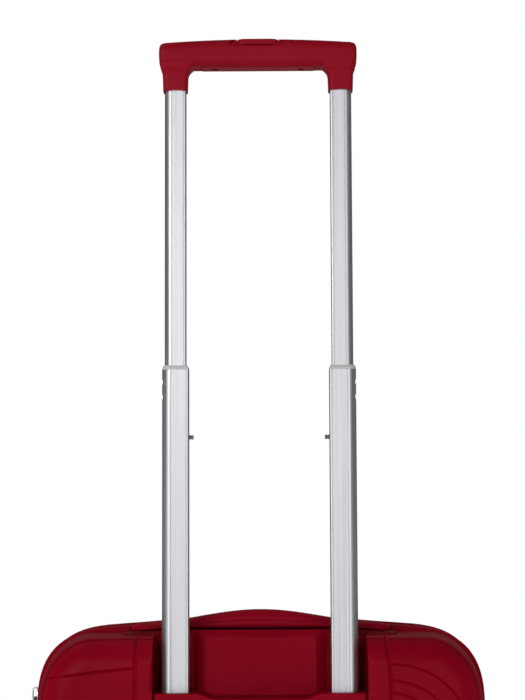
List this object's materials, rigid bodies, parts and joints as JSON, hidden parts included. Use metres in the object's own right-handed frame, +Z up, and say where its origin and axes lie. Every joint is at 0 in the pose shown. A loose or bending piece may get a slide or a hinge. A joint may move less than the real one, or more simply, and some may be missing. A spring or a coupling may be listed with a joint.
{
  "type": "hard shell suitcase",
  "caption": "Upright hard shell suitcase with a zip round the middle, twin-wheel casters and a pull-out two-stage trolley handle.",
  "frame": {"origin": "on the floor, under the middle of the case's bounding box", "axes": "+Z up, the trolley handle on the -Y side, the zip sliders, lock and side carry handle on the -X side, the fabric hinge on the +X side"},
  "size_m": [0.41, 0.2, 1.045],
  "materials": {
    "moulded_red": "moulded, semi-gloss",
    "handle_red": "satin moulded",
    "anodised_aluminium": "satin anodised, drawn",
    "zinc_plate": "plated",
    "black_plastic": "matt moulded",
    "grey_tyre": "matt",
    "zip_tape_red": "woven tape",
    "lining_grey": "woven lining",
    "strap_grey": "woven elastic"
  },
  "bodies": {
    "rear_half": {"rear_shell": "moulded_red", "rear_zip_tape": "zip_tape_red", "hinge_gusset": "zip_tape_red", "rear_side_skid": "black_plastic", "rear_lining": "lining_grey", "packing_straps": "strap_grey", "strap_buckle": "black_plastic", "lock_body": "black_plastic", "top_handle_base": "moulded_red", "side_handle_base": "moulded_red", "tube_bezel": "moulded_red", "trolley_base": "black_plastic", "outer_tube_left": "anodised_aluminium", "outer_tube_right": "anodised_aluminium", "caster_housing_rear_left": "black_plastic", "caster_housing_rear_right": "black_plastic"},
    "front_half": {"front_shell": "moulded_red", "front_zip_tape": "zip_tape_red", "front_side_skid": "black_plastic", "front_lining": "lining_grey", "caster_housing_front_left": "black_plastic", "caster_housing_front_right": "black_plastic"},
    "mid_stage": {"mid_tube_left": "anodised_aluminium", "mid_tube_right": "anodised_aluminium", "mid_collar_left": "black_plastic", "mid_collar_right": "black_plastic"},
    "upper_stage": {"inner_tube_left": "anodised_aluminium", "inner_tube_right": "anodised_aluminium", "grip_body": "handle_red", "grip_underside": "handle_red"},
    "release_button": {"grip_button": "handle_red", "push_yoke": "zinc_plate"},
    "pin_left": {"lock_pin_left": "zinc_plate"},
    "pin_right": {"lock_pin_right": "zinc_plate"},
    "top_carry_handle": {"top_handle": "handle_red"},
    "side_carry_handle": {"side_handle": "handle_red"},
    "lock_latch_button": {"lock_button": "zinc_plate"},
    "dial_1": {"lock_dial_1": "black_plastic"},
    "dial_2": {"lock_dial_2": "black_plastic"},
    "dial_3": {"lock_dial_3": "black_plastic"},
    "zip_slider_upper": {"slider_upper": "zinc_plate"},
    "zip_slider_lower": {"slider_lower": "zinc_plate"},
    "pull_tab_upper": {"puller_upper": "zinc_plate"},
    "pull_tab_lower": {"puller_lower": "zinc_plate"},
    "caster_rear_left": {"caster_fork_rear_left": "black_plastic", "caster_axle_rear_left": "zinc_plate"},
    "wheel_rear_left_a_turning": {"wheel_rear_left_a": "grey_tyre"},
    "wheel_rear_left_b_turning": {"wheel_rear_left_b": "grey_tyre"},
    "caster_rear_right": {"caster_fork_rear_right": "black_plastic", "caster_axle_rear_right": "zinc_plate"},
    "wheel_rear_right_a_turning": {"wheel_rear_right_a": "grey_tyre"},
    "wheel_rear_right_b_turning": {"wheel_rear_right_b": "grey_tyre"},
    "caster_front_left": {"caster_fork_front_left": "black_plastic", "caster_axle_front_left": "zinc_plate"},
    "wheel_front_left_a_turning": {"wheel_front_left_a": "grey_tyre"},
    "wheel_front_left_b_turning": {"wheel_front_left_b": "grey_tyre"},
    "caster_front_right": {"caster_fork_front_right": "black_plastic", "caster_axle_front_right": "zinc_plate"},
    "wheel_front_right_a_turning": {"wheel_front_right_a": "grey_tyre"},
    "wheel_front_right_b_turning": {"wheel_front_right_b": "grey_tyre"}
  },
  "joints": [
    {"name": "case_hinge", "type": "hinge", "parent": "rear_half", "child": "front_half", "pos_m": [0.2055, 0, 0.29], "axis": [0, 0, -1], "range_deg": [0, 180]},
    {"name": "mid_stage_slide", "type": "slide", "parent": "rear_half", "child": "mid_stage", "axis": [0, 0, 1], "range_m": [-0.272, 0]},
    {"name": "upper_stage_slide", "type": "slide", "parent": "mid_stage", "child": "upper_stage", "axis": [0, 0, 1], "range_m": [-0.232, 0]},
    {"name": "release_button_push", "type": "slide", "parent": "upper_stage", "child": "release_button", "axis": [0, 0, -1], "range_m": [0, 0.004], "stiffness_N_per_m": 600, "springref_m": -0.004},
    {"name": "lock_pin_left_slide", "type": "slide", "parent": "mid_stage", "child": "pin_left", "axis": [-1, 0, 0], "range_m": [0, 0.004]},
    {"name": "lock_pin_right_slide", "type": "slide", "parent": "mid_stage", "child": "pin_right", "axis": [1, 0, 0], "range_m": [0, 0.004]},
    {"name": "top_handle_lift", "type": "slide", "parent": "rear_half", "child": "top_carry_handle", "axis": [0, 0, 1], "range_m": [0, 0.012], "stiffness_N_per_m": 150, "springref_m": -0.004},
    {"name": "side_handle_lift", "type": "slide", "parent": "rear_half", "child": "side_carry_handle", "axis": [-1, 0, 0], "range_m": [0, 0.012], "stiffness_N_per_m": 150, "springref_m": -0.004},
    {"name": "lock_button_push", "type": "slide", "parent": "rear_half", "child": "lock_latch_button", "axis": [1, 0, 0], "range_m": [0, 0.0025], "stiffness_N_per_m": 300, "springref_m": -0.002},
    {"name": "dial_1_turn", "type": "hinge", "parent": "rear_half", "child": "dial_1", "pos_m": [-0.1935, -0.0295, 0.418], "axis": [0, 0, 1], "continuous": true},
    {"name": "dial_2_turn", "type": "hinge", "parent": "rear_half", "child": "dial_2", "pos_m": [-0.1935, -0.0295, 0.409], "axis": [0, 0, 1], "continuous": true},
    {"name": "dial_3_turn", "type": "hinge", "parent": "rear_half", "child": "dial_3", "pos_m": [-0.1935, -0.0295, 0.4], "axis": [0, 0, 1], "continuous": true},
    {"name": "slider_upper_run", "type": "slide", "parent": "rear_half", "child": "zip_slider_upper", "axis": [0, 0, 1], "range_m": [0, 0.016]},
    {"name": "slider_lower_run", "type": "slide", "parent": "rear_half", "child": "zip_slider_lower", "axis": [0, 0, -1], "range_m": [0, 0.34]},
    {"name": "puller_upper_turn", "type": "hinge", "parent": "zip_slider_upper", "child": "pull_tab_upper", "pos_m": [-0.198, 0, 0.466], "axis": [-1, 0, 0], "range_deg": [0, 40]},
    {"name": "puller_lower_turn", "type": "hinge", "parent": "zip_slider_lower", "child": "pull_tab_lower", "pos_m": [-0.198, 0, 0.446], "axis": [1, 0, 0], "range_deg": [0, 40]},
    {"name": "caster_rear_left_swivel", "type": "hinge", "parent": "rear_half", "child": "caster_rear_left", "pos_m": [-0.156, -0.058, 0.05], "axis": [0, 0, 1], "continuous": true},
    {"name": "wheel_rear_left_a_spin", "type": "hinge", "parent": "caster_rear_left", "child": "wheel_rear_left_a_turning", "pos_m": [-0.156, -0.07, 0.022], "axis": [1, 0, 0], "continuous": true},
    {"name": "wheel_rear_left_b_spin", "type": "hinge", "parent": "caster_rear_left", "child": "wheel_rear_left_b_turning", "pos_m": [-0.156, -0.07, 0.022], "axis": [1, 0, 0], "continuous": true},
    {"name": "caster_rear_right_swivel", "type": "hinge", "parent": "rear_half", "child": "caster_rear_right", "pos_m": [0.156, -0.058, 0.05], "axis": [0, 0, 1], "continuous": true},
    {"name": "wheel_rear_right_a_spin", "type": "hinge", "parent": "caster_rear_right", "child": "wheel_rear_right_a_turning", "pos_m": [0.156, -0.07, 0.022], "axis": [1, 0, 0], "continuous": true},
    {"name": "wheel_rear_right_b_spin", "type": "hinge", "parent": "caster_rear_right", "child": "wheel_rear_right_b_turning", "pos_m": [0.156, -0.07, 0.022], "axis": [1, 0, 0], "continuous": true},
    {"name": "caster_front_left_swivel", "type": "hinge", "parent": "front_half", "child": "caster_front_left", "pos_m": [-0.156, 0.058, 0.05], "axis": [0, 0, 1], "continuous": true},
    {"name": "wheel_front_left_a_spin", "type": "hinge", "parent": "caster_front_left", "child": "wheel_front_left_a_turning", "pos_m": [-0.156, 0.046, 0.022], "axis": [1, 0, 0], "continuous": true},
    {"name": "wheel_front_left_b_spin", "type": "hinge", "parent": "caster_front_left", "child": "wheel_front_left_b_turning", "pos_m": [-0.156, 0.046, 0.022], "axis": [1, 0, 0], "continuous": true},
    {"name": "caster_front_right_swivel", "type": "hinge", "parent": "front_half", "child": "caster_front_right", "pos_m": [0.156, 0.058, 0.05], "axis": [0, 0, 1], "continuous": true},
    {"name": "wheel_front_right_a_spin", "type": "hinge", "parent": "caster_front_right", "child": "wheel_front_right_a_turning", "pos_m": [0.156, 0.046, 0.022], "axis": [1, 0, 0], "continuous": true},
    {"name": "wheel_front_right_b_spin", "type": "hinge", "parent": "caster_front_right", "child": "wheel_front_right_b_turning", "pos_m": [0.156, 0.046, 0.022], "axis": [1, 0, 0], "continuous": true}
  ],
  "couplings": [
    {"joint": "lock_pin_left_slide", "follows": "release_button_push", "ratio": 1},
    {"joint": "lock_pin_right_slide", "follows": "release_button_push", "ratio": 1}
  ]
}
